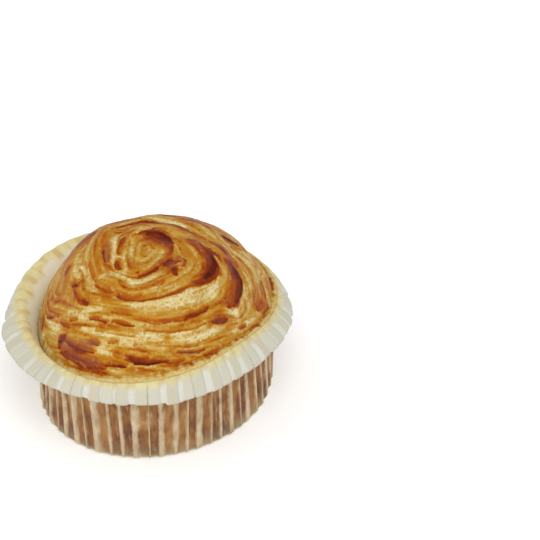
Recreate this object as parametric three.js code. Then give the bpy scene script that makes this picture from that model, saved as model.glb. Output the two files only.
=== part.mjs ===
// A sugar brioche: laminated dough rolled into a spiral and baked to a dome in a pleated paper case.
// Millimetres, +Z up. The case stands on its flat base, and the origin lies on that surface, under the
// middle of the whole. Angles run anticlockwise from +X, seen from above, and -Y is the front.
import * as THREE from "three";

// Outlines round the case: a mean, then the cosine and sine parts of one wave a turn, of two, and so on.
const BASE_RADIUS = [40.6, [2.3, 1.6], [0.3, 2.0]];
const FOLD_RADIUS = [45.4, [-0.15, 2.35], [0.05, 0.9], [-0.15, 3.0]];
const FOLD_HEIGHT = [37.3, [0.1, -0.9], [-2.6, -2.25]];
const SKIRT_RADIUS = [49.4, [-0.1, 1.3], [1.2, 1.3], [-0.35, 1.2], [0.2, 0.55]];
const SKIRT_HEIGHT = [30.4, [-0.65, -1.8], [-1.05, -1.05]];
// How far inside the fold the dough's edge lies.
const LEDGE = [4.2, [-2.9, 0.5], [1.0, -2.1], [0.35, 1.45]];

// The paper case
const PAPER = 0.3; // thickness
const BASE_CORNER = 2.0; // rounding between base and wall
const THROAT_DEPTH = [5.6, [-2.4, 0.3]]; // round the case, from the fold down to where the wall flares
const FLARE_LEAN = 0.35; // share of the flare's width that lies under its steep part
const FLARE_STATIONS = [0.5, 1];

// Its pleats: each is a flat panel and a fold that stands out from the wall.
const PLEATS = 54;
const CORNER_PLACES = [0, 0.6, 0.72]; // where the panel begins and ends and the fold stands out, in pleats
const CORNER_DEPTHS = [0, 0, 1]; // as shares of the fold's depth
const FOLD_DEPTH = 0.7; // on the wall and the flare
const SKIRT_FOLD_DEPTH = 1.0;
const PLEAT_DRIFT = 0.14; // how far a pleat lies from its even place, as a share of a pleat
const DRIFT_STEP = 2.4; // radians of drift from one pleat to the next

// The dough
const CLEARANCE = 0.3; // between dough and paper
const EDGE_DROP = 1.1; // the dough's edge below the fold
const FLARE_CONTACT = [0.36, [0.18, 0], [-0.11, 0]]; // how far up the flare the dough lies against it
const TOP = new THREE.Vector3(0.9, -4.0, 64.2); // the swirl's centre
const DOME_POWER = 3.3; // above 2, so that the dome is full and steep at its edge
const DOUGH_COLUMNS = 108;
const SIDE_STATIONS = [0, 0.5, 1, 1.5, 2]; // up to 1 against the wall, then up to 2 against the flare
const DOME_ROWS = 40;

// The swirl: ridges of rolled dough, each turn rising to a rounded crest and dropping off outwards.
const SWIRL_TURNS = 4.5;
const SWIRL_START = 0.85; // turn at which the angle 0 begins
const CREST_HEIGHT = 1.0;
const CREST_PLACE = 0.6; // share of a turn, from its inner side, where the crest lies
const CREST_FADE = 0.12; // share of the dome over which the ridges fade in, at the centre and at the edge
const LUMPS = [
  [0.8, 2, 3.1, 0],
  [0.3, 5, 4.1, 2],
  [0.3, 8, 2.3, 3],
]; // height, waves round, phase and waves outwards of the dome's unevenness

const BAKED_DOUGH = new THREE.MeshStandardMaterial({ color: 0xb8702a, roughness: 0.45, metalness: 0 });
const WAXED_PAPER = new THREE.MeshStandardMaterial({ color: 0xe9e6dc, roughness: 0.7, metalness: 0 });

// The value of an outline at an angle.
function around([mean, ...waves], angle) {
  return waves.reduce((sum, [cosine, sine], index) => {
    const turns = (index + 1) * angle;
    return sum + cosine * Math.cos(turns) + sine * Math.sin(turns);
  }, mean);
}

// The radius of the dough's edge, where its side meets its dome.
function doughEdge(angle) {
  return around(FOLD_RADIUS, angle) - around(LEDGE, angle);
}

// A point of the wall's outer face, as radius and height, at a share of the way up to the throat.
function wallPoint(angle, share) {
  const throat = doughEdge(angle) + CLEARANCE + PAPER;
  const base = around(BASE_RADIUS, angle);
  const top = around(FOLD_HEIGHT, angle) - around(THROAT_DEPTH, angle);
  return new THREE.Vector2(
    THREE.MathUtils.lerp(base, throat, share),
    THREE.MathUtils.lerp(BASE_CORNER, top, share),
  );
}

// The paper's outer face between the wall's throat and the fold, in section at an angle.
function flareCurve(angle) {
  const crown = new THREE.Vector2(around(FOLD_RADIUS, angle), around(FOLD_HEIGHT, angle));
  const throat = wallPoint(angle, 1);
  const steep = new THREE.Vector2(throat.x + FLARE_LEAN * (crown.x - throat.x), crown.y);
  return new THREE.QuadraticBezierCurve(throat, steep, crown);
}

// The paper's outer face in section at an angle, from base to hem, with each point's pleat depth.
function paperSection(angle) {
  const flare = flareCurve(angle);
  const hem = new THREE.Vector2(around(SKIRT_RADIUS, angle), around(SKIRT_HEIGHT, angle));
  return [
    { point: new THREE.Vector2(0, 0), depth: 0 },
    { point: new THREE.Vector2(around(BASE_RADIUS, angle) - BASE_CORNER, 0), depth: 0 },
    { point: wallPoint(angle, 0), depth: FOLD_DEPTH },
    { point: flare.v0, depth: FOLD_DEPTH },
    ...FLARE_STATIONS.map((share) => ({ point: flare.getPoint(share), depth: FOLD_DEPTH })),
    { point: hem, depth: SKIRT_FOLD_DEPTH },
  ];
}

// The unit normal towards the paper's inner face at a row of its section: straight up on the base.
function innerNormal(section, row) {
  if (row <= 1) return new THREE.Vector2(0, 1);
  const before = section[row - 1].point;
  const after = section[Math.min(row + 1, section.length - 1)].point;
  const along = after.clone().sub(before).normalize();
  return new THREE.Vector2(-along.y, along.x);
}

// A closed skin wound round the Z axis, whose rows run from the axis at the bottom to the axis at the top.
function woundSkin(columns, rows, place) {
  const onAxis = (row) => row === 0 || row === rows - 1;
  const profile = Array.from({ length: rows }, (_, row) => new THREE.Vector2(onAxis(row) ? 0 : 1, row));
  const geometry = new THREE.LatheGeometry(profile, columns);
  const position = geometry.getAttribute("position");
  for (let column = 0; column <= columns; column++) {
    for (let row = 0; row < rows; row++) {
      const { x, y, z } = place(column % columns, row);
      position.setXYZ(column * rows + row, x, y, z);
    }
  }
  geometry.computeVertexNormals();
  return geometry;
}

function atAngle(angle, radius, height) {
  return new THREE.Vector3(radius * Math.cos(angle), radius * Math.sin(angle), height);
}

// The angle of a pleat's corner, with the pleats a little uneven in width.
function cornerAngle(column) {
  const corners = CORNER_PLACES.length;
  const pleat = Math.floor(column / corners);
  const place = pleat + CORNER_PLACES[column % corners] + PLEAT_DRIFT * Math.sin(DRIFT_STEP * pleat);
  return (place / PLEATS) * 2 * Math.PI;
}

// The case is one sheet: its outer face out to the hem, then back along its inner face.
function paperCase() {
  const columns = PLEATS * CORNER_PLACES.length;
  const sections = Array.from({ length: columns }, (_, column) => paperSection(cornerAngle(column)));
  const faceRows = sections[0].length;
  const geometry = woundSkin(columns, 2 * faceRows, (column, row) => {
    const section = sections[column];
    const inside = row >= faceRows;
    const station = inside ? 2 * faceRows - 1 - row : row;
    const normal = innerNormal(section, station);
    const fold = CORNER_DEPTHS[column % CORNER_DEPTHS.length] * section[station].depth;
    const shift = (inside ? PAPER : 0) - fold;
    const { x: radius, y: height } = section[station].point.clone().addScaledVector(normal, shift);
    return atAngle(cornerAngle(column), station === 0 ? 0 : radius, height);
  });
  const mesh = new THREE.Mesh(geometry, WAXED_PAPER);
  mesh.name = "paper_case";
  return mesh;
}

// The height of the swirl's ridges, at an angle and a share of the way from its centre to the dome's edge.
function swirlRelief(angle, share) {
  const turn = share * SWIRL_TURNS + angle / (2 * Math.PI) + SWIRL_START;
  const across = turn - Math.floor(turn);
  const climb = across < CREST_PLACE ? across / CREST_PLACE : (1 - across) / (1 - CREST_PLACE);
  const fadeIn = THREE.MathUtils.smoothstep(share, 0, CREST_FADE);
  const fadeOut = THREE.MathUtils.smoothstep(1 - share, 0, CREST_FADE);
  return CREST_HEIGHT * (Math.sin((climb * Math.PI) / 2) - 0.5) * fadeIn * fadeOut;
}

function lumpRelief(angle, share) {
  const middle = Math.sin(Math.PI * share) ** 2;
  return LUMPS.reduce(
    (sum, [height, round, phase, outwards]) =>
      sum + height * middle * Math.sin(round * angle + phase + outwards * Math.PI * share),
    0,
  );
}

// A point of the dome at an angle and a share of the way from the swirl's centre to the edge.
function domePoint(angle, share) {
  const edgeHeight = around(FOLD_HEIGHT, angle) - EDGE_DROP;
  const point = atAngle(angle, doughEdge(angle) * share, edgeHeight);
  point.x += TOP.x * (1 - share);
  point.y += TOP.y * (1 - share);
  point.z += (TOP.z - edgeHeight) * (1 - share ** DOME_POWER);
  const outwards = atAngle(angle, share ** 2, 1 - share ** 2).normalize();
  return point.addScaledVector(outwards, swirlRelief(angle, share) + lumpRelief(angle, share));
}

// A point of the dough's side, which fills the case up to its throat and then lies against the flare.
function sidePoint(angle, station) {
  const wall = new THREE.LineCurve(wallPoint(angle, 0), wallPoint(angle, 1));
  const curve = station > 1 ? flareCurve(angle) : wall;
  const share = station > 1 ? (station - 1) * around(FLARE_CONTACT, angle) : station;
  const along = curve.getTangent(share);
  const inwards = new THREE.Vector2(-along.y, along.x);
  const { x: radius, y: height } = curve.getPoint(share).addScaledVector(inwards, PAPER + CLEARANCE);
  return atAngle(angle, radius, height);
}

function brioche() {
  const floor = PAPER + CLEARANCE;
  const bottomRows = 2;
  const domeStart = bottomRows + SIDE_STATIONS.length;
  const geometry = woundSkin(DOUGH_COLUMNS, domeStart + DOME_ROWS, (column, row) => {
    const angle = (column / DOUGH_COLUMNS) * 2 * Math.PI;
    if (row === 0) return new THREE.Vector3(0, 0, floor);
    if (row === 1) return atAngle(angle, around(BASE_RADIUS, angle) - BASE_CORNER, floor);
    if (row < domeStart) return sidePoint(angle, SIDE_STATIONS[row - bottomRows]);
    return domePoint(angle, 1 - (row - domeStart) / (DOME_ROWS - 1));
  });
  const mesh = new THREE.Mesh(geometry, BAKED_DOUGH);
  mesh.name = "brioche";
  return mesh;
}

// Shifts the meshes so that the middle of the whole lies over the origin.
function centred(...meshes) {
  const group = new THREE.Group().add(...meshes);
  const middle = new THREE.Box3().setFromObject(group, true).getCenter(new THREE.Vector3());
  meshes.forEach((mesh) => mesh.position.set(-middle.x, -middle.y, 0));
  return group;
}

export default centred(paperCase(), brioche());
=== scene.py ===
"""Looks of a sugar brioche in its pleated paper case: an egg-washed, browned swirl and greaseproof paper.

Lengths are in mm until a mesh is made, and in metres after that. Angles run anticlockwise from +X, seen from above,
and -Y is the front.
"""

import bpy
import numpy as np
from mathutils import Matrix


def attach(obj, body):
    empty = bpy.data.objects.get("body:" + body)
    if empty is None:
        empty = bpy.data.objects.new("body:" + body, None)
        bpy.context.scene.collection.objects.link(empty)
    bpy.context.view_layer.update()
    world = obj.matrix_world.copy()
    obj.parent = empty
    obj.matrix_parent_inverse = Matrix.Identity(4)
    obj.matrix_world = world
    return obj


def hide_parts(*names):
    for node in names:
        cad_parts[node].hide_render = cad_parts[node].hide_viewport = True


MM = 0.001

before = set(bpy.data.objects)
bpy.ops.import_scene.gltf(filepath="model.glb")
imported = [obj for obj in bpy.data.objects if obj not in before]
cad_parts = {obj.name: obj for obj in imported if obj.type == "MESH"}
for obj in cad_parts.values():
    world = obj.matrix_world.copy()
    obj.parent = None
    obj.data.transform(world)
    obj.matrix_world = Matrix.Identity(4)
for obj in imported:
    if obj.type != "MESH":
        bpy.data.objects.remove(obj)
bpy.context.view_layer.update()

# Outlines round the case, as in the solids: a mean, then the cosine and sine parts of one wave a turn, of two, ...
BASE_RADIUS = [40.6, [2.3, 1.6], [0.3, 2.0]]
FOLD_RADIUS = [45.4, [-0.15, 2.35], [0.05, 0.9], [-0.15, 3.0]]
FOLD_HEIGHT = [37.3, [0.1, -0.9], [-2.6, -2.25]]
SKIRT_RADIUS = [49.4, [-0.1, 1.3], [1.2, 1.3], [-0.35, 1.2], [0.2, 0.55]]
SKIRT_HEIGHT = [30.4, [-0.65, -1.8], [-1.05, -1.05]]
LEDGE = [4.2, [-2.9, 0.5], [1.0, -2.1], [0.35, 1.45]]  # how far inside the fold the dough's edge lies
THROAT_DEPTH = [5.6, [-2.4, 0.3]]  # from the fold down to where the wall flares
LIP_REACH = [0.62, [0.30, 0], [-0.20, 0]]  # how far up the flare the dough's buttery lip reaches, as a share
MIDDLE = np.array([-0.047, 0.105])  # of the whole, which lies over the origin

PAPER = 0.3  # thickness
CLEARANCE = 0.3  # between the solids of dough and paper
BASE_CORNER = 2.0  # rounding between base and wall
FLARE_LEAN = 0.35  # share of the flare's width that lies under its steep part

NOISE_GAIN = 1.7  # brings the noise to about -1 to 1
OCTAVE_SHIFT = 31.7  # keeps the octaves of one noise apart

rng = np.random.default_rng(7)
SHUFFLE = rng.permutation(256)
SLOPES = rng.normal(size=(256, 3))
SLOPES /= np.linalg.norm(SLOPES, axis=1, keepdims=True)


def noise(points):
    """Smooth noise from about -1 to 1, one wave a unit."""
    cell = np.floor(points).astype(int)
    place = points - cell
    fade = place**3 * (place * (place * 6 - 15) + 10)
    total = np.zeros(points.shape[:-1])
    for corner in np.ndindex(2, 2, 2):
        corner = np.array(corner)
        x, y, z = np.moveaxis((cell + corner) & 255, -1, 0)
        slope = SLOPES[SHUFFLE[(SHUFFLE[(SHUFFLE[x] + y) & 255] + z) & 255]]
        weight = np.where(corner, fade, 1 - fade).prod(-1)
        total += weight * ((place - corner) * slope).sum(-1)
    return NOISE_GAIN * total


def fractal(points, octaves, shift):
    return sum(noise(points * 2**k + shift + OCTAVE_SHIFT * k) / 2**k for k in range(octaves))


def smooth(low, high, value):
    """A soft step from 0 at low to 1 at high."""
    t = np.clip((value - low) / (high - low), 0, 1)
    return t * t * (3 - 2 * t)


def mix(a, b, share):
    return a + (b - a) * share


def around(outline, angle):
    """The value of an outline at an angle."""
    total = outline[0] + 0 * angle
    for turns, (cosine, sine) in enumerate(outline[1:], 1):
        total = total + cosine * np.cos(turns * angle) + sine * np.sin(turns * angle)
    return total


def round_axis(angle, radius, height):
    """Points at a radius and height round the Z axis."""
    return np.stack(np.broadcast_arrays(radius * np.cos(angle), radius * np.sin(angle), height), -1)


# The case's section


def dough_edge(angle):
    """The radius of the dough's edge, where its side meets its dome."""
    return around(FOLD_RADIUS, angle) - around(LEDGE, angle)


def wall_point(angle, share):
    """Radius and height on the wall's outer face, at a share of the way up to the throat."""
    throat = dough_edge(angle) + CLEARANCE + PAPER
    top = around(FOLD_HEIGHT, angle) - around(THROAT_DEPTH, angle)
    return mix(around(BASE_RADIUS, angle), throat, share), mix(BASE_CORNER, top, share)


def flare_point(angle, t):
    """Radius and height on the flare's outer face, and the direction towards its inner face."""
    throat = wall_point(angle, 1.0)
    crown = around(FOLD_RADIUS, angle), around(FOLD_HEIGHT, angle)
    steep = throat[0] + FLARE_LEAN * (crown[0] - throat[0]), crown[1]
    curve = list(zip(throat, steep, crown))
    place = [(1 - t) ** 2 * a + 2 * t * (1 - t) * b + t * t * c for a, b, c in curve]
    along = [2 * (1 - t) * (b - a) + 2 * t * (c - b) for a, b, c in curve]
    length = np.hypot(*along)
    return place, (-along[1] / length, along[0] / length)


def wound_mesh(name, rings, first, last, attributes):
    """A closed skin: rings is columns x rows x 3, first and last are the points that close it at the axis."""
    columns, rows = rings.shape[:2]
    points = np.concatenate([rings.reshape(-1, 3), [first, last]])
    points[:, :2] -= MIDDLE
    column, row = np.meshgrid(np.arange(columns), np.arange(rows - 1), indexing="ij")
    here = column * rows + row
    after = (column + 1) % columns * rows + row
    faces = np.stack([here, after, after + 1, here + 1], -1).reshape(-1, 4).tolist()
    start, end = columns * rows, columns * rows + 1
    turns = [(c * rows, (c + 1) % columns * rows) for c in range(columns)]
    faces += [[start, after, here] for here, after in turns]
    faces += [[end, here + rows - 1, after + rows - 1] for here, after in turns]
    mesh = bpy.data.meshes.new(name)
    mesh.from_pydata((points * MM).tolist(), [], faces)
    for key, values in attributes.items():
        values = values.reshape(columns * rows, -1)
        width = values.shape[1]
        values = np.concatenate([values, np.zeros((2, width))])
        kind, field = ("FLOAT", "value") if width == 1 else ("FLOAT_VECTOR", "vector")
        mesh.attributes.new(key, kind, "POINT").data.foreach_set(field, values.ravel())
    mesh.polygons.foreach_set("use_smooth", np.ones(len(mesh.polygons), bool))
    mesh.update()
    piece = bpy.data.objects.new(name, mesh)
    bpy.context.scene.collection.objects.link(piece)
    return piece


# The dome, as in the solids

EDGE_DROP = 1.1  # the dough's edge below the fold
TOP = np.array([0.9, -4.0, 64.2])  # the swirl's centre
DOME_POWER = 3.3
SWIRL_TURNS = 4.5
SWIRL_START = 0.85  # turn at which the angle 0 begins
CREST_HEIGHT = 1.0
CREST_PLACE = 0.6  # share of a turn, from its inner side, where the crest lies
CREST_FADE = 0.12  # share of the dome over which the ridges fade in, at the centre and at the edge
LUMPS = [[0.8, 2, 3.1, 0], [0.3, 5, 4.1, 2], [0.3, 8, 2.3, 3]]  # height, waves round, phase, waves outwards

SNUG = 0.1  # what is left between dough and paper where they touch in life
LIP_RISE = 0.25  # of the dough's edge above the end of its lip
LIP_START = 0.9  # share of the dome from which it rises towards the lip


def swirl_relief(angle, share):
    turn = share * SWIRL_TURNS + angle / (2 * np.pi) + SWIRL_START
    across = turn % 1
    climb = np.where(across < CREST_PLACE, across / CREST_PLACE, (1 - across) / (1 - CREST_PLACE))
    fade = smooth(0, CREST_FADE, share) * smooth(0, CREST_FADE, 1 - share)
    return CREST_HEIGHT * (np.sin(climb * np.pi / 2) - 0.5) * fade


def lump_relief(angle, share):
    middle = np.sin(np.pi * share) ** 2
    return sum(h * middle * np.sin(r * angle + p + o * np.pi * share) for h, r, p, o in LUMPS)


def lip_height(angle):
    """The height at which the dough's lip ends on the flare."""
    (_, height), (_, out_height) = flare_point(angle, around(LIP_REACH, angle))
    return height + (PAPER + SNUG) * out_height


def dome(angle, share):
    """A point of the smooth dome and the direction out of it."""
    edge_height = around(FOLD_HEIGHT, angle) - EDGE_DROP
    lift = np.clip(lip_height(angle) + LIP_RISE - edge_height, 0, 2) * smooth(LIP_START, 1.0, share)
    radius = dough_edge(angle) * share
    point = np.stack([
        radius * np.cos(angle) + TOP[0] * (1 - share),
        radius * np.sin(angle) + TOP[1] * (1 - share),
        edge_height + (TOP[2] - edge_height) * (1 - share**DOME_POWER) + lift,
    ], -1)
    out = round_axis(angle, share**2, 1 - share**2)
    return point, out / np.linalg.norm(out, axis=-1, keepdims=True)


# The crust's browning

PALE, HONEY, AMBER, ORANGE, BROWN, DARK = 0.12, 0.26, 0.45, 0.64, 0.8, 1.0  # tones, as shares of the full bake

# Marks on the crust, later ones over earlier ones: tone, half width, then the middle line's points as an angle in
# degrees and a share of the way from the swirl's centre to the edge.
MARKS = [
    (AMBER, 2.2, [(223, 0.2), (248, 0.26), (264, 0.27), (286, 0.2), (322, 0.13)]),
    (AMBER, 3.0, [
        (218, 0.54), (228, 0.47), (243, 0.48), (256, 0.48), (271, 0.48), (286, 0.47), (306, 0.47),
        (331, 0.46), (352, 0.41), (15, 0.34), (36, 0.29),
    ]),
    (AMBER, 3.2, [(126, 0.56), (142, 0.48), (162, 0.45), (182, 0.45), (199, 0.47), (215, 0.45)]),
    (AMBER, 1.6, [(133, 0.43), (115, 0.42), (98, 0.4), (81, 0.39), (61, 0.36), (41, 0.36), (25, 0.41)]),
    (AMBER, 2.2, [
        (62, 0.43), (42, 0.43), (24, 0.48), (13, 0.55), (3, 0.63), (354, 0.69), (344, 0.75), (335, 0.79),
    ]),
    (AMBER, 3.0, [(192, 0.86), (192, 0.82), (191, 0.77), (186, 0.74)]),
    (AMBER, 2.2, [(212, 0.74), (210, 0.7), (208, 0.62), (202, 0.56)]),
    (AMBER, 2.0, [(227, 0.66), (239, 0.64), (248, 0.6)]),
    (AMBER, 1.8, [(250, 0.65), (262, 0.66), (275, 0.69), (285, 0.72), (295, 0.73)]),
    (AMBER, 2.0, [(210, 0.86), (220, 0.84), (230, 0.79)]),
    (AMBER, 2.2, [(201, 0.98), (210, 0.97), (219, 0.96)]),
    (AMBER, 2.4, [(247, 0.9), (254, 0.91), (260, 0.93)]),
    (AMBER, 1.8, [(263, 0.97), (272, 0.99), (279, 1.0), (287, 1.0), (296, 1.0), (304, 1.0)]),
    (AMBER, 2.0, [(306, 0.94), (316, 0.96), (325, 0.97), (334, 0.99)]),
    (AMBER, 1.5, [(344, 0.96), (350, 0.98), (357, 1.0)]),
    (AMBER, 1.2, [(315, 0.92), (323, 0.95)]),
    (PALE, 1.6, [(124, 0.24), (100, 0.3), (87, 0.33)]),
    (PALE, 1.4, [(136, 0.27), (165, 0.15), (220, 0.22), (236, 0.32)]),
    (PALE, 1.4, [
        (216, 0.5), (218, 0.44), (224, 0.38), (240, 0.38), (252, 0.39), (264, 0.38), (277, 0.35), (292, 0.34),
        (304, 0.33),
    ]),
    (PALE, 2.5, [
        (262, 0.61), (272, 0.6), (283, 0.6), (296, 0.62), (308, 0.66), (320, 0.69), (333, 0.68), (344, 0.68),
    ]),
    (PALE, 1.3, [(212, 0.81), (222, 0.78), (229, 0.73), (237, 0.68)]),
    (PALE, 2.2, [(230, 0.82), (238, 0.81), (246, 0.81), (256, 0.82), (264, 0.82), (272, 0.81), (280, 0.82)]),
    (PALE, 2.0, [(287, 0.84), (296, 0.86), (304, 0.87), (314, 0.88)]),
    (PALE, 1.6, [(245, 0.87), (251, 0.88), (255, 0.84)]),
    (PALE, 1.0, [(262, 0.88), (268, 0.89), (274, 0.9), (280, 0.89)]),
    (PALE, 1.9, [(30, 0.62), (23, 0.67), (19, 0.72), (16, 0.79), (15, 0.83), (10, 0.88)]),
    (PALE, 1.5, [(5, 0.78), (2, 0.83), (358, 0.88)]),
    (PALE, 1.3, [(356, 0.8), (351, 0.84), (343, 0.87)]),
    (PALE, 1.6, [(332, 0.84), (336, 0.9), (336, 0.94), (328, 0.96)]),
    (PALE, 1.0, [(88, 0.5), (72, 0.47), (56, 0.47)]),
    (PALE, 0.8, [(52, 0.55), (40, 0.56), (31, 0.58)]),
    (PALE, 0.9, [(183, 0.62), (188, 0.58), (196, 0.55), (208, 0.57), (220, 0.58), (226, 0.58)]),
    (PALE, 1.2, [(200, 0.94), (208, 0.92), (218, 0.89)]),
    (ORANGE, 1.2, [(218, 0.56), (230, 0.54), (240, 0.53)]),
    (ORANGE, 1.1, [(240, 0.42), (250, 0.46)]),
    (ORANGE, 1.3, [(279, 0.45), (292, 0.43)]),
    (ORANGE, 0.9, [(188, 0.51), (202, 0.52), (216, 0.54)]),
    (ORANGE, 1.0, [(224, 0.62), (232, 0.58), (240, 0.57)]),
    (ORANGE, 0.8, [(121, 0.38), (106, 0.38), (88, 0.35)]),
    (ORANGE, 1.3, [
        (246, 0.54), (258, 0.54), (268, 0.55), (279, 0.55), (292, 0.55), (304, 0.55), (320, 0.58),
    ]),
    (ORANGE, 1.6, [(312, 0.56), (322, 0.6), (334, 0.62)]),
    (ORANGE, 1.5, [(60, 0.4), (44, 0.42), (30, 0.46), (20, 0.52)]),
    (ORANGE, 2.2, [(26, 0.48), (19, 0.55), (15, 0.61), (12, 0.67), (8, 0.72)]),
    (ORANGE, 1.3, [(248, 0.67), (255, 0.66), (262, 0.67)]),
    (ORANGE, 1.2, [(264, 0.7), (272, 0.71), (280, 0.73), (288, 0.74), (298, 0.76), (307, 0.77), (316, 0.77)]),
    (ORANGE, 0.5, [(272, 0.77), (280, 0.79), (289, 0.81), (300, 0.83), (310, 0.84)]),
    (ORANGE, 1.4, [(202, 0.61), (204, 0.67)]),
    (ORANGE, 1.5, [(206, 0.7), (215, 0.7), (222, 0.7)]),
    (ORANGE, 0.8, [(175, 0.91), (182, 0.91), (192, 0.9), (200, 0.87)]),
    (ORANGE, 0.6, [(192, 0.86), (196, 0.82)]),
    (ORANGE, 0.8, [(199, 0.88), (206, 0.86)]),
    (ORANGE, 1.0, [(211, 0.87), (220, 0.85)]),
    (ORANGE, 2.2, [(220, 0.95), (230, 0.92), (238, 0.91)]),
    (ORANGE, 1.5, [(226, 0.98), (237, 0.98), (244, 0.98), (251, 0.98), (254, 0.99)]),
    (ORANGE, 1.6, [(254, 0.93), (258, 0.94), (262, 0.94)]),
    (ORANGE, 1.6, [(256, 0.88), (258, 0.89), (262, 0.9)]),
    (ORANGE, 0.8, [(266, 0.85), (268, 0.86), (272, 0.88)]),
    (ORANGE, 0.7, [(251, 0.84), (256, 0.83)]),
    (ORANGE, 1.6, [(282, 0.96), (287, 0.97), (291, 0.97)]),
    (ORANGE, 0.7, [(285, 0.93), (292, 0.96), (298, 0.98)]),
    (ORANGE, 0.6, [(304, 0.96), (312, 0.97), (320, 0.98)]),
    (ORANGE, 1.3, [(302, 0.99), (309, 0.99), (318, 1.0), (328, 1.0)]),
    (ORANGE, 1.6, [(318, 0.83), (325, 0.83), (329, 0.86)]),
    (ORANGE, 0.9, [(359, 0.87), (358, 0.9)]),
    (ORANGE, 0.7, [(356, 0.92), (354, 0.94)]),
    (ORANGE, 0.8, [(26, 0.7), (26, 0.77)]),
    (ORANGE, 0.8, [(340, 1.0), (348, 1.0), (356, 1.0)]),
    (ORANGE, 1.2, [(119, 0.26), (104, 0.21)]),
    (ORANGE, 1.2, [(350, 0.28), (339, 0.36), (324, 0.41)]),
    (ORANGE, 1.1, [(132, 0.29), (158, 0.24), (185, 0.26)]),
    (ORANGE, 0.5, [(123, 0.09), (76, 0.09), (36, 0.06), (324, 0.05), (232, 0.05)]),
    (ORANGE, 0.8, [(254, 0.28), (271, 0.25), (293, 0.23)]),
    (ORANGE, 0.8, [(348, 0.86), (346, 0.9)]),
    (BROWN, 1.0, [(247, 0.54), (258, 0.55), (272, 0.55), (282, 0.55)]),
    (BROWN, 3.4, [(323, 0.58), (334, 0.6), (346, 0.6), (356, 0.54), (4, 0.47), (15, 0.4)]),
    (BROWN, 1.0, [(10, 0.44), (18, 0.39), (28, 0.34)]),
    (BROWN, 3.0, [(4, 0.64), (0, 0.71), (355, 0.76), (348, 0.79), (341, 0.82), (334, 0.82)]),
    (BROWN, 1.0, [(18, 0.58), (12, 0.62)]),
    (BROWN, 1.0, [(298, 0.76), (307, 0.77), (318, 0.77)]),
    (BROWN, 0.9, [(232, 0.76), (239, 0.74), (246, 0.74)]),
    (BROWN, 1.0, [(250, 0.73), (256, 0.73), (264, 0.74)]),
    (BROWN, 1.2, [(200, 0.7), (204, 0.67)]),
    (BROWN, 1.2, [(220, 0.69), (226, 0.7)]),
    (BROWN, 0.7, [(194, 0.93), (202, 0.89)]),
    (BROWN, 0.7, [(217, 0.83), (222, 0.8)]),
    (BROWN, 1.0, [(193, 1.0), (191, 0.98), (188, 0.96)]),
    (BROWN, 1.8, [(218, 0.95), (218, 0.92), (220, 0.9)]),
    (BROWN, 0.9, [(237, 0.87), (242, 0.86), (246, 0.86)]),
    (BROWN, 1.9, [(221, 0.96), (228, 0.96), (236, 0.96), (244, 0.96), (251, 0.96)]),
    (BROWN, 0.8, [(251, 0.95), (257, 0.95), (262, 0.96)]),
    (BROWN, 1.9, [(262, 0.91), (269, 0.93), (277, 0.94), (282, 0.95)]),
    (BROWN, 0.7, [(288, 0.92), (293, 0.94), (299, 0.96), (304, 0.97)]),
    (BROWN, 1.6, [(315, 0.85), (321, 0.86), (327, 0.88)]),
    (BROWN, 1.1, [(333, 0.96), (338, 0.97)]),
    (BROWN, 1.8, [(354, 0.95), (360, 0.95), (2, 0.98), (356, 0.98)]),
    (BROWN, 0.7, [(14, 0.91), (9, 0.94), (5, 0.96)]),
    (BROWN, 0.6, [(30, 0.78), (27, 0.82)]),
    (BROWN, 2.8, [(100, 0.24), (82, 0.26), (64, 0.24), (41, 0.2)]),
    (BROWN, 1.0, [(24, 0.19), (2, 0.2), (335, 0.2)]),
    (BROWN, 2.4, [(308, 0.24), (326, 0.26), (332, 0.32)]),
    (BROWN, 2.2, [(314, 0.32), (310, 0.41)]),
    (BROWN, 0.6, [(260, 0.31), (275, 0.28), (294, 0.27)]),
    (BROWN, 1.2, [(207, 0.3), (222, 0.31)]),
    (BROWN, 1.0, [(138, 0.28), (158, 0.24), (186, 0.25)]),
    (BROWN, 0.5, [(172, 0.39), (196, 0.39)]),
    (BROWN, 0.5, [(134, 0.42), (119, 0.37)]),
    (BROWN, 0.5, [(125, 0.48), (106, 0.44), (88, 0.43), (71, 0.41), (51, 0.39), (34, 0.44)]),
    (BROWN, 2.8, [(169, 0.8), (162, 0.77), (154, 0.74), (148, 0.7), (141, 0.67), (138, 0.62)]),
    (BROWN, 1.2, [(182, 0.74), (178, 0.7)]),
    (BROWN, 0.9, [(53, 0.59), (42, 0.61)]),
    (BROWN, 1.4, [(221, 0.91), (230, 0.91), (237, 0.9), (243, 0.9)]),
    (ORANGE, 1.2, [(284, 0.55), (296, 0.55), (309, 0.56), (320, 0.6)]),
    (ORANGE, 0.5, [(264, 0.95), (270, 0.97), (276, 0.99)]),
    (ORANGE, 0.5, [(279, 0.97), (288, 0.99), (297, 1.0)]),
    (ORANGE, 0.6, [(249, 0.98), (253, 0.99), (254, 1.0)]),
    (BROWN, 0.5, [(244, 0.98), (249, 0.98), (253, 0.99)]),
    (ORANGE, 0.5, [(273, 0.89), (279, 0.9), (286, 0.93)]),
    (AMBER, 1.0, [(240, 0.8), (251, 0.77), (256, 0.78)]),
    (AMBER, 0.8, [(19, 0.86), (30, 0.97)]),
    (BROWN, 0.4, [(246, 0.96), (251, 1.0)]),
    (ORANGE, 0.5, [(236, 0.96), (241, 0.98)]),
    (HONEY, 0.5, [(228, 0.98), (235, 0.98)]),
    (DARK, 0.7, [
        (126, 0.7), (115, 0.69), (104, 0.67), (92, 0.67), (78, 0.58), (66, 0.61), (54, 0.59), (47, 0.61),
    ]),
    (DARK, 1.0, [(38, 0.68), (33, 0.71), (30, 0.76)]),
    (DARK, 2.2, [(86, 0.24), (71, 0.24), (56, 0.22), (41, 0.18)]),
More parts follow.
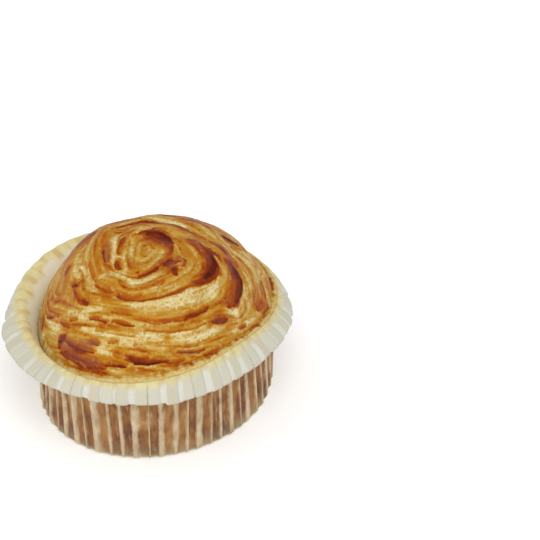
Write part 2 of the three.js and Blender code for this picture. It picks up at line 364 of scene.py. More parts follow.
    (DARK, 1.6, [(4, 0.67), (1, 0.73), (356, 0.78), (349, 0.81), (341, 0.83)]),
    (DARK, 1.5, [(333, 0.59), (344, 0.6), (353, 0.57), (0, 0.52)]),
    (DARK, 1.2, [(264, 0.91), (267, 0.93), (272, 0.95), (278, 0.95)]),
    (DARK, 0.9, [(216, 0.94), (220, 0.91)]),
    (DARK, 0.6, [(258, 0.95), (262, 0.96)]),
    (PALE, 0.9, [(143, 0.38), (172, 0.29), (199, 0.33)]),
    (HONEY, 0.9, [(4, 0.12), (308, 0.16), (278, 0.21), (261, 0.27)]),
    (HONEY, 0.6, [(204, 0.12), (246, 0.09), (304, 0.05), (26, 0.06)]),
    (HONEY, 1.3, [
        (14, 0.32), (0, 0.4), (350, 0.47), (334, 0.51), (316, 0.51), (301, 0.5), (286, 0.5), (271, 0.5),
    ]),
    (HONEY, 1.0, [(1, 0.54), (356, 0.61), (350, 0.68), (342, 0.73), (333, 0.77)]),
    (HONEY, 0.5, [(236, 0.72), (248, 0.71), (256, 0.7), (264, 0.72), (271, 0.74)]),
    (HONEY, 0.6, [(168, 0.83), (164, 0.78), (156, 0.77), (150, 0.72), (144, 0.66)]),
    (HONEY, 0.5, [(177, 0.92), (176, 0.88), (172, 0.84), (166, 0.83)]),
    (HONEY, 0.5, [(274, 0.89), (282, 0.91), (288, 0.94), (294, 0.97)]),
    (HONEY, 0.5, [(266, 0.95), (272, 0.96), (278, 0.98), (284, 1.0)]),
    (HONEY, 0.6, [(120, 0.52), (104, 0.5), (88, 0.46)]),
]
# The side that the photo doesn't show is finished like the rest.
MARKS += [
    (AMBER, 2.6, [(140, 0.82), (118, 0.8), (96, 0.78), (74, 0.76), (52, 0.76), (38, 0.82)]),
    (AMBER, 2.0, [(48, 0.9), (38, 0.93), (28, 0.95)]),
    (PALE, 1.8, [(128, 0.76), (106, 0.74), (86, 0.72), (66, 0.68)]),
    (PALE, 1.6, [(118, 0.91), (96, 0.9), (74, 0.88), (56, 0.88)]),
    (ORANGE, 1.4, [(70, 0.72), (54, 0.7), (40, 0.74)]),
    (ORANGE, 2.0, [(150, 0.93), (132, 0.95), (112, 0.96)]),
    (BROWN, 1.7, [(132, 0.86), (112, 0.85), (92, 0.83), (74, 0.82)]),
    (BROWN, 1.5, [(84, 0.95), (66, 0.95), (50, 0.94)]),
    (DARK, 0.9, [(78, 0.95), (68, 0.96), (58, 0.95)]),
    (DARK, 0.8, [(120, 0.86), (106, 0.85), (96, 0.84)]),
    (HONEY, 0.7, [(136, 0.84), (116, 0.82), (94, 0.8), (72, 0.79)]),
]
# Marks with a purplish cast: half width and points.
PURPLE_MARKS = [
    (3.2, [(169, 0.8), (162, 0.77), (154, 0.74), (148, 0.7), (141, 0.67), (138, 0.62)]),
    (2.0, [(162, 0.37), (196, 0.36)]),
    (1.8, [(226, 0.96), (234, 0.95), (242, 0.95), (247, 0.94)]),
    (2.0, [(220, 0.93), (230, 0.92), (239, 0.89)]),
    (1.4, [(317, 0.85), (324, 0.87)]),
    (1.0, [(239, 0.87), (245, 0.86)]),
    (1.0, [(290, 0.93), (298, 0.96)]),
    (1.6, [(353, 0.52), (2, 0.51)]),
    (1.2, [(2, 0.7), (355, 0.76)]),
    (0.8, [(86, 0.29), (71, 0.28)]),
    (1.4, [(314, 0.24), (326, 0.31)]),
    (1.0, [(193, 0.99), (190, 0.96)]),
]

# Distance from the swirl's centre along the crust, for the mean outline.
MEAN_EDGE_RADIUS = 41.2
MEAN_DOME_HEIGHT = 27.0
SHARES = np.linspace(0, 1, 400)
PROFILE = np.stack([MEAN_EDGE_RADIUS * SHARES, -MEAN_DOME_HEIGHT * SHARES**DOME_POWER])
REACH = np.concatenate([[0], np.cumsum(np.hypot(*np.diff(PROFILE)))])


def unrolled(angle, share):
    """Place on the crust laid flat round the swirl's centre."""
    reach = np.interp(share, SHARES, REACH)
    return np.stack([reach * np.cos(angle), reach * np.sin(angle)], -1)


# Streaks are drawn on a flat square, along a direction that follows the dough's turns and the marks.
FLOW_HALF = 64.0  # half the square's side
FLOW_STEP = 0.25  # between two of its cells
FIELD_STEP = 1.0  # between two cells of the directions
FLOW_SPREAD = 3.5  # how far a mark turns the streaks beside it
FLOW_LEAN = 0.15  # how far the streaks wind outwards, in radians
TURN_WEIGHT = 1.1  # of the dough's turns, against 1 for a mark
BROAD_BLUR, BROAD_LENGTH = 6, 8.0
THIN_BLUR, THIN_LENGTH = 2, 5.0


def flat_grid(step):
    ticks = np.arange(int(2 * FLOW_HALF / step) + 1) * step - FLOW_HALF
    return np.stack(np.meshgrid(ticks, ticks, indexing="ij"), -1)


def sampled(grid, place, step=FLOW_STEP):
    """Values of a grid over the flat square, at places on it."""
    spot = np.clip((place + FLOW_HALF) / step, 0, grid.shape[0] - 1.001)
    low = spot.astype(int)
    part = spot - low
    x, y = low[..., 0], low[..., 1]
    if grid.ndim > 2:
        part = part[..., None, :]
    left = mix(grid[x, y], grid[x, y + 1], part[..., 1])
    right = mix(grid[x + 1, y], grid[x + 1, y + 1], part[..., 1])
    return mix(left, right, part[..., 0])


def heading_pair(heading):
    """A heading as the cosine and sine of its double, so that opposite ways count as one."""
    return np.stack([np.cos(2 * heading), np.sin(2 * heading)], -1)


def flow_field():
    """The directions of the streaks, as heading pairs."""
    spots = flat_grid(FIELD_STEP)
    turns = np.arctan2(spots[..., 1], spots[..., 0]) + np.pi / 2 + FLOW_LEAN
    field = TURN_WEIGHT * heading_pair(turns)
    for _, half_width, path in MARKS:
        path = np.array(path, float)
        line = unrolled(np.unwrap(np.radians(path[:, 0])), path[:, 1])
        for start, end in zip(line[:-1], line[1:]):
            length = np.linalg.norm(end - start)
            if length < half_width:
                continue
            pair = heading_pair(np.arctan2(*(end - start)[::-1]))
            steps = np.linspace(0, 1, int(length / 2) + 2)[:, None]
            for middle in start + steps * (end - start):
                near = np.exp(-((spots - middle) ** 2).sum(-1) / (2 * FLOW_SPREAD**2))
                field += near[..., None] * pair
    return field


def blurred(grid, times):
    for _ in range(times):
        for axis in (0, 1):
            grid = (np.roll(grid, 1, axis) + 2 * grid + np.roll(grid, -1, axis)) / 4
    return grid


def drawn_out(grain, directions, length):
    """A grain smeared along the directions by a length either way."""
    start = flat_grid(FLOW_STEP)
    total = grain.copy()
    for way in (1.0, -1.0):
        place = start.copy()
        heading = directions
        for _ in range(int(length / FLOW_STEP)):
            cell = np.clip(((place + FLOW_HALF) / FLOW_STEP + 0.5).astype(int), 0, len(grain) - 1)
            ahead = directions[cell[..., 0], cell[..., 1]]
            ahead = ahead * np.where((ahead * heading).sum(-1, keepdims=True) < 0, -1.0, 1.0)
            place += way * FLOW_STEP * ahead
            heading = ahead
            total += sampled(grain, place)
    return np.clip(0.5 * (total - total.mean()) / total.std(), -1.4, 1.4)


def flow_streaks():
    """Broad and thin streaks over the flat square."""
    cells = flat_grid(FLOW_STEP)
    pairs = sampled(flow_field(), cells, FIELD_STEP)
    heading = 0.5 * np.arctan2(pairs[..., 1], pairs[..., 0])
    directions = np.stack([np.cos(heading), np.sin(heading)], -1)
    broad, thin = rng.normal(size=(2, *cells.shape[:2]))
    return (drawn_out(blurred(broad, BROAD_BLUR), directions, BROAD_LENGTH),
            drawn_out(blurred(thin, THIN_BLUR), directions, THIN_LENGTH))


PATH_STEPS = 4  # pieces that each stretch of a mark is cut into
FAR = 9.0  # a distance in half widths beyond any mark's reach
END_WIDTH = 0.45  # share of its width that a mark keeps at its ends
INNER_WIDTH, OUTER_WIDTH = 1.15, 0.95  # of a mark on its two sides: it ends softer towards the swirl's centre


def mark_distance(place, half_width, path):
    """Distance from a mark's middle line, in half widths, and how far outwards of it, from -1 to 1."""
    path = np.array(path, float)
    turn = np.unwrap(np.radians(path[:, 0]))
    knots = np.arange(len(path))
    steps = np.linspace(0, len(path) - 1, (len(path) - 1) * PATH_STEPS + 1)
    line = unrolled(np.interp(steps, knots, turn), np.interp(steps, knots, path[:, 1]))
    reach = np.ptp(line, axis=0).max() + 4 * half_width + 3
    near = np.linalg.norm(place - line.mean(0), axis=-1) < reach
    spots = place[near]
    nearest = np.full(len(spots), FAR)
    outwards = np.zeros(len(spots))
    for i in range(len(line) - 1):
        start, along = line[i], line[i + 1] - line[i]
        t = np.clip(((spots - start) @ along) / (along @ along + 1e-9), 0, 1)
        foot = start + t[:, None] * along
        beyond = np.linalg.norm(spots, axis=-1) > np.linalg.norm(foot, axis=-1)
        share = np.clip((i + t) / (len(line) - 1), 0.02, 0.98)
        width = half_width * mix(END_WIDTH, 1, np.sqrt(np.sin(np.pi * share)))
        width = width * np.where(beyond, OUTER_WIDTH, INNER_WIDTH)
        distance = np.linalg.norm(spots - foot, axis=-1) / width
        closer = distance < nearest
        nearest = np.where(closer, distance, nearest)
        outwards = np.where(closer, np.where(beyond, 1, -1) * np.minimum(distance, 1), outwards)
    whole = np.full(place.shape[:-1], FAR)
    side = np.zeros(place.shape[:-1])
    whole[near] = nearest
    side[near] = outwards
    return whole, side


BASE_BAKE = 0.36  # of the crust between the marks
# How a mark covers the crust: not at all from the first distance, in half widths, and fully from the second.
PALE_COVER = 1.7, 0.2
INNER_COVER = 1.35, 0.45
OUTER_COVER = 1.12, 0.75
PURPLE_COVER = 1.5, 0.4
HALO_COVER = 2.6, 1.0  # of the lighter brown that brown marks have towards the swirl's centre
HALO_TONE = 0.22  # how much lighter it is


def crust(angle, share):
    """Bake, purple cast, fine relief and share of marks over the dome."""
    place = unrolled(angle, share)
    flat = np.concatenate([place, 0 * place[..., :1]], -1)
    warp = np.stack([fractal(flat / 6.0, 2, 5.0), fractal(flat / 6.0, 2, 50.0)], -1)
    fine_warp = np.stack([fractal(flat / 1.6, 2, 80.0), fractal(flat / 1.6, 2, 110.0)], -1)
    wavy = place + 0.45 * warp + 0.22 * fine_warp
    broad, thin = (sampled(streaks, place) for streaks in flow_streaks())
    blotch = fractal(flat / 4.0, 3, 200.0)
    ragged = 0.42 * broad + 0.26 * thin + 0.14 * blotch
    bake = BASE_BAKE + 0.07 * blotch + 0.13 * broad + 0.04 * thin
    marked = np.zeros(angle.shape)
    for tone, half_width, path in MARKS:
        distance, side = mark_distance(wavy, half_width, path)
        distance = distance + ragged * min(1.0, 0.4 + half_width / 3)
        pale = tone <= HONEY
        if pale:
            cover = 0.85 * smooth(*PALE_COVER, distance)
        else:
            cover = np.where(side > 0, smooth(*OUTER_COVER, distance), smooth(*INNER_COVER, distance))
        if tone > AMBER:
            halo = 0.7 * smooth(*HALO_COVER, distance) * (side < 0)
            bake = np.maximum(bake, mix(bake, tone - HALO_TONE, halo))
            tone = tone - 0.04 + 0.12 * side
        bake = mix(bake, tone, 0.94 * cover)
        marked = marked * (1 - cover) if pale else np.maximum(marked, cover)
    purple = np.zeros(angle.shape)
    for half_width, path in PURPLE_MARKS:
        distance, _ = mark_distance(wavy, half_width, path)
        purple = np.maximum(purple, smooth(*PURPLE_COVER, distance + ragged))
    bake = bake + (0.09 * thin + 0.08 * broad) * (1 + 0.25 * marked)
    pores = smooth(0.35, 0.8, noise(flat / 0.9 + 400.0)) * (1 - marked)
    relief = 0.10 * marked + 0.13 * broad + 0.08 * thin + 0.12 * blotch - 0.16 * pores
    return np.clip(bake, 0, 1), purple, relief * smooth(0, 0.03, 1 - share), marked


# The dough

DOUGH_COLUMNS = 520
DOME_ROWS = 165
WALL_STATIONS = np.linspace(0, 1, 7)
LIP_STATIONS = np.linspace(0, 1, 9)[1:]
LIP_TOP_ROWS = 6  # from the lip's end in to the dome's edge
LIP_PRESS = 0.8  # how much of its gap to the paper the lip closes towards its end
SIDE_BAKE = 0.42
SIDE_MARKED = 0.3
CENTRE_BAKE = 0.4
LIP_BUTTER = 0.8, 0.42  # share of butter over the lip's top, from its end in
STREAK_RADIUS = 7.0  # of the cylinder on which the fine streaks of the material run round the swirl


def side_sections(angle):
    """Radii and heights of the rows up the dough's side, out along its lip and back in to the dome's edge."""
    sections = []
    for share in WALL_STATIONS:
        radius, height = wall_point(angle, share)
        sections.append((radius - PAPER - SNUG, height))
    for share in LIP_STATIONS:
        (radius, height), (out_radius, out_height) = flare_point(angle, share * around(LIP_REACH, angle))
        offset = PAPER + SNUG * (1 - LIP_PRESS * share**2)
        sections.append((radius + offset * out_radius, height + offset * out_height))
    lip_radius, lip_top = sections[-1]
    edge = dome(angle, np.ones_like(angle))[0]
    edge_radius = np.hypot(edge[:, 0], edge[:, 1])
    for t in np.linspace(0, 1, LIP_TOP_ROWS + 2)[1:-1]:
        ragged = 0.25 + 0.35 * noise(round_axis(angle, 30.0, 9 * t))
        height = mix(lip_top, edge[:, 2], t) + ragged * np.sin(np.pi * t)
        sections.append((mix(lip_radius, edge_radius, t), height))
    return sections


def with_side(values, below):
    """Values of the dome with those of the rows below it, which pass over to the dome's on the lip's top."""
    side = np.full((DOUGH_COLUMNS, 1 + len(WALL_STATIONS) + len(LIP_STATIONS) + LIP_TOP_ROWS), below)
    side[:, -LIP_TOP_ROWS:] = mix(below, values[:, :1], np.linspace(0.3, 1, LIP_TOP_ROWS)[None])
    return np.concatenate([side, values], 1)


def make_dough():
    angle = np.arange(DOUGH_COLUMNS) / DOUGH_COLUMNS * 2 * np.pi
    floor_height = PAPER + CLEARANCE
    reaches = np.linspace(REACH[-1], REACH[-1] / DOME_ROWS, DOME_ROWS)
    a, share = np.meshgrid(angle, np.interp(reaches, REACH, SHARES), indexing="ij")
    point, out = dome(a, share)
    bake, purple, relief, marked = crust(a, share)
    top = point + out * (swirl_relief(a, share) + lump_relief(a, share) + relief)[..., None]
    bottom = round_axis(angle, around(BASE_RADIUS, angle) - BASE_CORNER, floor_height)
    side = np.stack([round_axis(angle, radius, height) for radius, height in side_sections(angle)], 1)
    below = np.concatenate([bottom[:, None], side], 1)

    start, end = LIP_BUTTER
    lip = np.ones(below.shape[:2])
    lip[:, -LIP_TOP_ROWS:] = np.linspace(start, end, LIP_TOP_ROWS)
    lip = np.concatenate([lip, smooth(0.98, 1.0, share) * end], 1)
    ribs = 0.30 * noise(round_axis(a[:, :1], 24.0, 0.0)) + 0.16 * noise(round_axis(a[:, :1], 9.0, 5.0))
    streak_place = round_axis(a, STREAK_RADIUS, np.interp(share, SHARES, REACH))
    attributes = {
        "bake": with_side(bake, SIDE_BAKE),
        "purple": with_side(purple, 0.0),
        "marked": with_side(marked, SIDE_MARKED),
        "lip": lip + ribs * (lip > 0.02),
        "streak_place": np.concatenate([0 * below, streak_place], 1),
    }
    none = np.zeros(1)
    centre, centre_out = dome(none, none)
    centre = centre[0] + centre_out[0] * (swirl_relief(none, none) + relief[:, -1].mean())
    piece = wound_mesh("baked_swirl", np.concatenate([below, top], 1), [0, 0, floor_height], centre, attributes)
    piece.data.attributes["bake"].data[len(piece.data.vertices) - 1].value = CENTRE_BAKE
    return piece


# The paper case

PLEATS = 54
PLEAT_DRIFT = 0.14  # how far a pleat lies from its even place, as a share of a pleat
DRIFT_STEP = 2.4  # radians of drift from one pleat to the next
PLEAT_COLUMNS = 15
PANEL_END = 0.72  # share of a pleat that keeps the pleat's own drift
BASE_SHARES = 0.35, 0.7, 0.93
CORNER_TURNS = np.radians([0, 30, 60])
WALL_ROWS = 12
FLARE_ROWS = 12
SKIRT_ROWS = 12
SKIRT_BULGE = 0.5
CROWN_ROWS, CROWN_PASSES = 5, 8  # rows over which the fold is rounded off, and how often
# The face that a row lies on: 0 is the base, 0.5 its corner, 1 to 2 the wall, 2 to 3 the flare, 3 to 4 the skirt.
FACE_FOLDS = [0, 0.9, 1, 2, 2.6, 3, 3.25, 4], [0, 0.6, 0.7, 0.7, 0.35, 0.25, 0.4, 0.8]  # depth of a fold by face
SMOOTH_FACES = [1.9, 2.1, 2.8, 3.05], [0, 1, 1, 0]  # where the dough has pressed the inner face smooth
SKIRT_FOLD = [0, 0.67, 0.74, 0.93, 1], [0, 0.15, 1, 0.9, 0]  # across a pleat: a flat knife pleat
RIDGE_PLACE, TUCK_PLACE = 0.80, 0.667  # where across a pleat its fold lies and where it is tucked under
WAVE_RADIUS = 40.0  # of the cylinder on which the paper's unevenness runs


def pleat_grid():
    """Each column's angle, its place across its pleat and the pleat's number."""
    across = np.arange(PLEAT_COLUMNS) / PLEAT_COLUMNS
    pleat = np.arange(PLEATS)
    drift = PLEAT_DRIFT * np.sin(DRIFT_STEP * pleat)
    blend = np.clip((across - PANEL_END) / (1 - PANEL_END), 0, 1)
    place = pleat[:, None] + across[None] + mix(drift[:, None], np.roll(drift, -1)[:, None], blend[None])
    angle = (place / PLEATS * 2 * np.pi).ravel()
    return angle, np.tile(across, PLEATS), np.repeat(pleat, PLEAT_COLUMNS)


def paper_section(angle):
    """Radius and height of the outer face without its pleats, columns x rows, and the face that each row is on."""
    edge = around(BASE_RADIUS, angle) - BASE_CORNER
    rows = [(edge * share, 0 * angle, 0.0) for share in BASE_SHARES]
    for turn in CORNER_TURNS:
        rows.append((edge + BASE_CORNER * np.sin(turn), BASE_CORNER * (1 - np.cos(turn)) + 0 * angle, 0.5))
    for share in np.linspace(0, 1, WALL_ROWS):
        rows.append((*wall_point(angle, share), 1.0 + share))
    for t in np.linspace(0, 1, FLARE_ROWS + 1)[1:]:
        rows.append((*flare_point(angle, t)[0], 2.0 + t))
    crown = around(FOLD_RADIUS, angle), around(FOLD_HEIGHT, angle)
    hem = around(SKIRT_RADIUS, angle), around(SKIRT_HEIGHT, angle)
    width, drop = hem[0] - crown[0], crown[1] - hem[1]
    for t in np.linspace(0, 1, SKIRT_ROWS + 1)[1:]:
        bulge = SKIRT_BULGE * np.sin(np.pi * t) / np.hypot(width, drop)
        rows.append((mix(crown[0], hem[0], t) + bulge * drop, mix(crown[1], hem[1], t) + bulge * width, 3.0 + t))
    section = np.stack([np.stack([radius, height], -1) for radius, height, _ in rows], 1)
    face = np.array([row[2] for row in rows])
    crown_row = np.argmin(np.abs(face - 3.0))
    for _ in range(CROWN_PASSES):
        part = section[:, crown_row - 1:crown_row + CROWN_ROWS + 1]
        section[:, crown_row:crown_row + CROWN_ROWS] = (part[:, :-2] + 2 * part[:, 1:-1] + part[:, 2:]) / 4
    return section, face


def make_case():
    angle, across, pleat = pleat_grid()
    uneven = rng.normal(size=(PLEATS, 4)).clip(-2, 2)[pleat]
    section, face = paper_section(angle)
    along = np.gradient(section, axis=1)
    along /= np.linalg.norm(along, axis=-1, keepdims=True)
    inner = np.stack([-along[..., 1], along[..., 0]], -1)
    inner[:, :len(BASE_SHARES)] = (0, 1)

    # Across a pleat: a narrow fold on the wall, a rounder one on the flare and a flat one on the skirt.
    across = across[:, None]
    wall_fold = smooth(0.58, 0.68, across) * smooth(1.0, 0.86, across)
    flare_fold = 0.5 + 0.5 * np.cos(2 * np.pi * (across - 0.76))
    fold = mix(wall_fold, flare_fold, smooth(2.0, 2.6, face)[None])
    fold = mix(fold, np.interp(across, *SKIRT_FOLD), smooth(3.0, 3.4, face)[None])
    depth = np.interp(face, *FACE_FOLDS)[None] * (1 + 0.14 * uneven[:, :1])

    # Unevenness: the whole sheet's, the hem's wave and the hem's height from pleat to pleat.
    on_skirt = np.clip(face - 3, 0, 1)[None]
    spots = round_axis(angle[:, None], WAVE_RADIUS, section[..., 1])
    wobble = 0.10 * noise(spots / 6.0) * smooth(0.5, 1.0, face)[None]
    hem_wave = 0.5 * noise(spots[:, :1, [0, 1, 1]] / 7.0) * on_skirt
    section = section + along * (0.18 * uneven[:, 1:2] * on_skirt**2)[..., None]

    shift = -depth * fold - wobble - hem_wave
    outer = section + inner * shift[..., None]
    outer[..., 1] = np.maximum(outer[..., 1], 0)
    pressed = np.interp(face, *SMOOTH_FACES)[None]
    back = section + inner * (PAPER + mix(shift, 0, pressed))[..., None]
    back[..., 1] = np.maximum(back[..., 1], PAPER)
    back[:, :len(BASE_SHARES), 1] = PAPER

    def both_faces(values, back_values):
        return np.concatenate([values, back_values[:, ::-1]], 1)

    level = np.repeat(face[None], len(angle), 0)
    shares = {
        "ridge": np.cos(2 * np.pi * (across - RIDGE_PLACE)),
        "tuck": np.cos(2 * np.pi * (across - TUCK_PLACE)),
        "level": level,
        "chance": (pleat * 0.618 % 1)[:, None],
    }
    attributes = {}
    for name, values in shares.items():
        values = values * np.ones_like(level)
        attributes[name] = both_faces(values, values)
    attributes["inside"] = both_faces(np.zeros_like(level), np.ones_like(level))
    rings = [round_axis(angle[:, None], skin[..., 0], skin[..., 1]) for skin in (outer, back)]
    return wound_mesh("pleated_case", both_faces(*rings), [0, 0, 0], [0, 0, PAPER], attributes)


# Materials


def srgb(red, green, blue):
    values = np.array([red, green, blue]) / 255
    linear = np.where(values <= 0.04045, values / 12.92, ((values + 0.055) / 1.055) ** 2.4)
    return (*[float(v) for v in linear], 1.0)


class Nodes:
    """Short names for the nodes of one material."""

    def __init__(self, name):
        self.material = bpy.data.materials.new(name)
        self.material.use_nodes = True
        self.tree = self.material.node_tree
        self.tree.nodes.clear()
        out = self.tree.nodes.new("ShaderNodeOutputMaterial")
        self.shader = self.tree.nodes.new("ShaderNodeBsdfPrincipled")
        self.tree.links.new(self.shader.outputs[0], out.inputs["Surface"])
        self.place = self.tree.nodes.new("ShaderNodeTexCoord").outputs["Object"]

    def put(self, value, socket):
        if isinstance(value, bpy.types.NodeSocket):
            self.tree.links.new(value, socket)
        else:
            socket.default_value = value

    def set(self, name, value):
        """Sets or links an input of the shader."""
        self.put(value, self.shader.inputs[name])

    def attribute(self, name, output="Fac"):
        node = self.tree.nodes.new("ShaderNodeAttribute")
        node.attribute_name = name
        return node.outputs[output]

    def math(self, operation, *values, clamp=False):
        node = self.tree.nodes.new("ShaderNodeMath")
        node.operation = operation
        node.use_clamp = clamp
        for value, socket in zip(values, node.inputs):
            self.put(value, socket)
        return node.outputs[0]

    def times(self, a, b):
        return self.math("MULTIPLY", a, b)

    def varied(self, value, pattern, amount, middle=0.5):
        """The value plus an amount of how far a pattern lies above its middle."""
        return self.math("MULTIPLY_ADD", self.math("SUBTRACT", pattern, middle), amount, value)

    def scaled(self, vector, scale):
        node = self.tree.nodes.new("ShaderNodeVectorMath")
        node.operation = "MULTIPLY"
        self.put(vector, node.inputs[0])
        node.inputs[1].default_value = scale
        return node.outputs[0]

    def noise(self, scale, detail, roughness, place=None):
        """Noise with this many waves a unit along X, Y and Z."""
        node = self.tree.nodes.new("ShaderNodeTexNoise")
        self.put(self.scaled(self.place if place is None else place, scale), node.inputs["Vector"])
        for name, number in (("Scale", 1.0), ("Detail", detail), ("Roughness", roughness)):
            node.inputs[name].default_value = number
        return node.outputs["Fac"]

    def cracks(self, scale):
        """Distance from the edges between irregular cells."""
        node = self.tree.nodes.new("ShaderNodeTexVoronoi")
        node.feature = "DISTANCE_TO_EDGE"
        self.put(self.scaled(self.place, scale), node.inputs["Vector"])
        node.inputs["Scale"].default_value = 1.0
        return node.outputs["Distance"]

    def step(self, value, low, high, to_low=0.0, to_high=1.0):
        """A soft step between two values."""
        node = self.tree.nodes.new("ShaderNodeMapRange")
        node.interpolation_type = "SMOOTHSTEP"
        self.put(value, node.inputs["Value"])
        for name, number in zip(("From Min", "From Max", "To Min", "To Max"), (low, high, to_low, to_high)):
            node.inputs[name].default_value = number
        return node.outputs["Result"]

    def ramp(self, value, *stops):
        node = self.tree.nodes.new("ShaderNodeValToRGB")
        self.put(value, node.inputs[0])
        elements = node.color_ramp.elements
        while len(elements) < len(stops):
            elements.new(0.5)
        for element, (position, *colour) in zip(elements, stops):
            element.position = position
            element.color = srgb(*colour)
        return node.outputs["Color"]

    def blend(self, share, a, b):
        node = self.tree.nodes.new("ShaderNodeMix")
        node.data_type = "RGBA"
        self.put(share, node.inputs[0])
        self.put(a, node.inputs[6])
        self.put(b, node.inputs[7])
        return node.outputs[2]

    def painted(self, colour, share, strength, paint):
        """The colour with a paint over it, at a strength, where the share says."""
        return self.blend(self.times(share, strength), colour, paint)

    def bump(self, height, distance, strength):
        node = self.tree.nodes.new("ShaderNodeBump")
        node.inputs["Strength"].default_value = strength
        node.inputs["Distance"].default_value = distance
        self.put(height, node.inputs["Height"])
        return node.outputs[0]


def crust_material():
    n = Nodes("baked_crust")
    bake, purple, marked, lip = (n.attribute(name) for name in ("bake", "purple", "marked", "lip"))
    streaks = n.noise((1.0, 1.0, 2.2), 4.0, 0.6, n.attribute("streak_place", "Vector"))
    mottle = n.noise((900, 900, 900), 4.0, 0.55)
    blots = n.noise((260, 260, 260), 3.0, 0.55)
    flecks = n.noise((430, 430, 430), 3.0, 0.65)

    grain = n.varied(n.varied(n.varied(0.0, streaks, 0.22), mottle, 0.30), blots, 0.26)
    grain_share = n.step(marked, 0.0, 1.0, 1.0, 0.6)
    value = n.math("MULTIPLY_ADD", grain, grain_share, bake, clamp=True)
    colour = n.ramp(
        value,
        (0.0, 228, 211, 160),
        (0.12, 213, 188, 122),
        (0.26, 197, 158, 72),
        (0.44, 184, 126, 22),
        (0.60, 170, 86, 6),
        (0.75, 136, 50, 2),
        (0.88, 112, 34, 2),
        (1.0, 80, 20, 4),
    )
    purplish = n.ramp(value, (0.2, 172, 120, 84), (0.6, 142, 78, 56), (1.0, 86, 36, 32))
    colour = n.painted(colour, purple, 0.5, purplish)

    # The pale crust is crackled, flecked and pitted, and light flakes lie on the browner one.
    crackle = n.times(n.step(n.cracks((520, 520, 520)), 0.0, 0.13, 1.0, 0.0), n.step(value, 0.46, 0.2))
    crackle = n.times(crackle, n.step(blots, 0.42, 0.56))
    colour = n.painted(colour, crackle, 0.5, srgb(240, 229, 192))
    olive = n.times(n.step(flecks, 0.58, 0.70), n.step(value, 0.5, 0.25))
    colour = n.painted(colour, olive, 0.5, srgb(158, 118, 48))
    pits = n.times(n.step(n.noise((900, 900, 900), 2.0, 0.5), 0.59, 0.70), n.step(value, 0.42, 0.22))
    colour = n.painted(colour, pits, 0.6, srgb(138, 100, 46))
    flakes = n.times(n.step(flecks, 0.42, 0.31), n.step(value, 0.75, 0.55))
    colour = n.painted(colour, flakes, 0.4, srgb(216, 188, 118))

    butter = n.ramp(mottle, (0.3, 200, 168, 88), (0.7, 230, 212, 146))
    colour = n.blend(n.step(n.varied(lip, blots, 0.9), 0.35, 0.75, 0.0, 0.9), colour, butter)
    n.set("Base Color", colour)
    n.set("Roughness", n.step(value, 0.2, 0.6, 0.6, 0.4))
    n.set("Specular IOR Level", 0.1)
    height = n.times(n.math("ADD", n.times(mottle, 0.5), n.times(streaks, 0.6)), grain_share)
    height = n.math("MULTIPLY_ADD", crackle, -0.12, height)
    height = n.math("MULTIPLY_ADD", pits, -0.4, height)
    n.set("Normal", n.bump(height, 0.0006, 0.5))
    return n.material


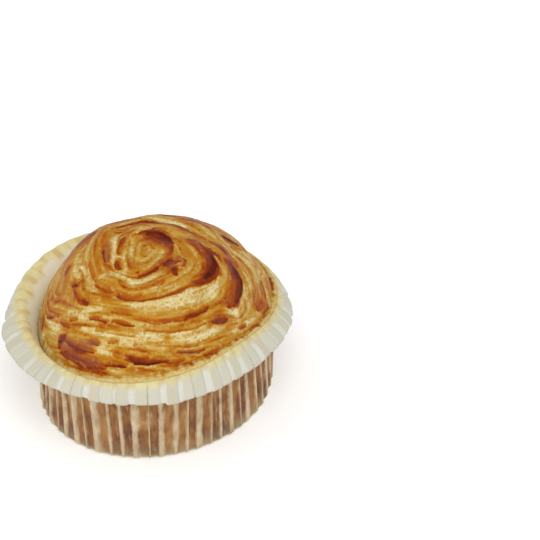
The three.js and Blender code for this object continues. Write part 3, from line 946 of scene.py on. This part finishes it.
def paper_material():
    n = Nodes("greaseproof_paper")
    names = "ridge", "tuck", "level", "inside", "chance"
    ridge, tuck, level, inside, chance = (n.attribute(name) for name in names)
    patch = n.noise((150, 150, 90), 4.0, 0.6)
    broad = n.noise((60, 60, 60), 2.0, 0.5)
    fibre = n.noise((1400, 1400, 900), 4.0, 0.6)
    mottle = n.noise((420, 420, 170), 4.0, 0.6)
    drag = n.noise((800, 800, 70), 3.0, 0.6)

    # The skirt is white, more so where the paper lies double, with a darker line painted where a pleat is tucked
    # under: painted shadow of the pleat's edge.
    single = n.ramp(chance, (0.0, 200, 196, 174), (0.5, 207, 204, 186), (1.0, 202, 192, 168))
    double = n.ramp(fibre, (0.2, 211, 209, 195), (0.8, 223, 222, 210))
    white = n.blend(n.step(n.varied(ridge, broad, 1.8), -0.1, 0.8), single, double)
    # Painted shadow: a darker line along each pleat's tucked edge, fainter in places.
    painted_tuck_shadow = n.times(n.step(tuck, 0.80, 0.97), n.step(broad, 0.3, 0.55, 0.25, 0.75))
    white = n.painted(white, painted_tuck_shadow, 0.6, srgb(172, 168, 142))

    # On the wall the folds are cream and the greasy panels between them show the dough.
    on_wall = n.times(n.step(level, 2.3, 2.05), n.step(level, 0.2, 0.9))
    cream = n.ramp(mottle, (0.3, 180, 152, 114), (0.7, 217, 199, 165))
    tone = n.varied(n.varied(n.varied(patch, mottle, 0.45), drag, 0.5), chance, 0.16)
    tone = n.varied(tone, level, 0.22, middle=1.45)
    panel = n.ramp(
        tone,
        (0.20, 80, 38, 20),
        (0.36, 114, 64, 32),
        (0.52, 146, 94, 44),
        (0.68, 168, 120, 64),
        (0.86, 190, 156, 108),
    )
    panel_edge = n.varied(n.varied(ridge, patch, 1.9), drag, 1.0)
    colour = n.blend(on_wall, white, cream)
    colour = n.painted(colour, n.times(n.step(panel_edge, 1.0, 0.1), on_wall), 0.95, panel)
    smear = n.varied(n.noise((110, 110, 50), 3.0, 0.55), drag, 0.5)
    colour = n.painted(colour, n.times(n.step(smear, 0.56, 0.74), on_wall), 0.55, srgb(206, 186, 154))
    colour = n.painted(colour, n.step(n.varied(level, mottle, 0.5), 1.2, 0.85), 0.6, srgb(192, 178, 142))

    # The inner face is pale, and the fold is ribbed with butter.
    lining = n.times(inside, n.step(level, 3.0, 2.8))
    colour = n.painted(colour, lining, 0.95, srgb(228, 222, 202))
    butter = n.ramp(mottle, (0.3, 212, 194, 122), (0.7, 228, 218, 166))
    ribs = n.step(n.varied(n.times(ridge, 0.9), patch, 3.0), -0.2, 1.3)
    butter = n.painted(butter, ribs, 0.75, srgb(198, 166, 82))
    greased = n.varied(level, patch, 0.7)
    ledge = n.times(n.step(greased, 2.48, 2.68), n.step(greased, 3.4, 2.95))
    n.set("Base Color", n.painted(colour, ledge, 0.85, butter))
    n.set("Roughness", 0.6)
    n.set("Specular IOR Level", 0.2)
    n.set("Normal", n.bump(n.math("ADD", fibre, n.times(drag, 0.8)), 0.0002, 0.5))
    return n.material


def floor_material():
    n = Nodes("pale_floor")
    n.set("Base Color", (0.93, 0.93, 0.93, 1))
    n.set("Roughness", 0.9)
    n.set("Specular IOR Level", 0.0)
    n.set("Emission Color", (1, 1, 1, 1))
    n.set("Emission Strength", 0.24)
    return n.material


dough = make_dough()
dough.data.materials.append(crust_material())
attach(dough, "root")
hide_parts("brioche")

case = make_case()
case.data.materials.append(paper_material())
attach(case, "root")
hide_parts("paper_case")

# Floor, light and camera, in metres

FLOOR_HALF = 3

floor_mesh = bpy.data.meshes.new("floor")
floor_corners = [(x * FLOOR_HALF, y * FLOOR_HALF, 0) for x, y in ((-1, -1), (1, -1), (1, 1), (-1, 1))]
floor_mesh.from_pydata(floor_corners, [], [(0, 1, 2, 3)])
floor = bpy.data.objects.new("floor", floor_mesh)
bpy.context.scene.collection.objects.link(floor)
floor.data.materials.append(floor_material())

world = bpy.data.worlds.new("studio")
world.use_nodes = True
world.node_tree.nodes["Background"].inputs["Color"].default_value = (1, 1, 1, 1)
world.node_tree.nodes["Background"].inputs["Strength"].default_value = 0.68
bpy.context.scene.world = world


def area_light(name, position, size, power):
    """A round light that faces the origin."""
    lamp = bpy.data.lights.new(name, "AREA")
    lamp.shape = "DISK"
    lamp.size = size
    lamp.energy = power
    light = bpy.data.objects.new(name, lamp)
    light.location = position
    direction = -np.array(position) / np.linalg.norm(position)
    light.rotation_euler = (np.arccos(-direction[2]), 0, np.arctan2(-direction[0], direction[1]))
    bpy.context.scene.collection.objects.link(light)


area_light("key", (0.12, -0.45, 0.75), 0.6, 2.5)
area_light("fill", (-0.7, -0.3, 0.6), 0.9, 1.1)

camera_data = bpy.data.cameras.new("camera")
camera_data.sensor_width = 36.0
camera_data.lens = 165.75
camera_data.clip_start = 0.01
camera_data.clip_end = 20
camera = bpy.data.objects.new("camera", camera_data)
camera.location = (0.04335, -0.6832, 0.58753)
camera.rotation_euler = (np.radians(52.0), 0, 0)
bpy.context.scene.collection.objects.link(camera)
bpy.context.scene.camera = camera

bpy.context.scene.view_settings.view_transform = "Standard"
bpy.context.scene.view_settings.look = "None"
